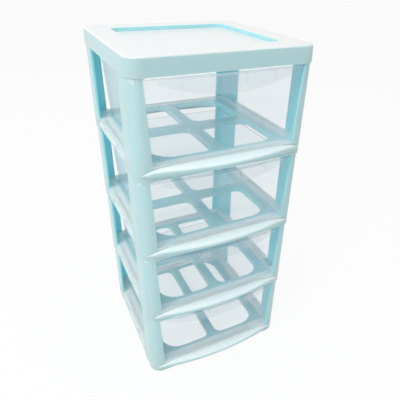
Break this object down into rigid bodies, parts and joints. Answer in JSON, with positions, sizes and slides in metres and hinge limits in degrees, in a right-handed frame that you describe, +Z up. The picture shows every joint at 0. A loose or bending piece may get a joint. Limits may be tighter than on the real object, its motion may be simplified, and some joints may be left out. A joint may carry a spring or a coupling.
{
  "type": "plastic drawer tower",
  "caption": "Free-standing plastic drawer tower: stacked open frames with corner posts, clear sliding drawers with a hooded pull lip, and a cover with a shallow tray.",
  "frame": {"origin": "middle of the footprint, on the surface that the tower stands on", "axes": "+Z up, -Y towards the drawer fronts, +X to the right seen from the front"},
  "size_m": [0.182, 0.1853, 0.3755],
  "materials": {
    "frame_plastic": "pale aqua moulded polypropylene, satin gloss",
    "cover_plastic": "pale aqua moulded polypropylene, satin gloss",
    "drawer_plastic": "clear moulded polystyrene, glossy"
  },
  "bodies": {
    "tower": {"tier_frame_1": "frame_plastic", "tier_frame_2": "frame_plastic", "tier_frame_3": "frame_plastic", "tier_frame_4": "frame_plastic", "top_cover": "cover_plastic"},
    "drawer_1_body": {"drawer_1": "drawer_plastic"},
    "drawer_2_body": {"drawer_2": "drawer_plastic"},
    "drawer_3_body": {"drawer_3": "drawer_plastic"},
    "drawer_4_body": {"drawer_4": "drawer_plastic"}
  },
  "joints": [
    {"name": "drawer_1_slide", "type": "slide", "parent": "tower", "child": "drawer_1_body", "axis": [0, -1, 0], "range_m": [0, 0.11]},
    {"name": "drawer_2_slide", "type": "slide", "parent": "tower", "child": "drawer_2_body", "axis": [0, -1, 0], "range_m": [0, 0.11]},
    {"name": "drawer_3_slide", "type": "slide", "parent": "tower", "child": "drawer_3_body", "axis": [0, -1, 0], "range_m": [0, 0.11]},
    {"name": "drawer_4_slide", "type": "slide", "parent": "tower", "child": "drawer_4_body", "axis": [0, -1, 0], "range_m": [0, 0.11]}
  ]
}
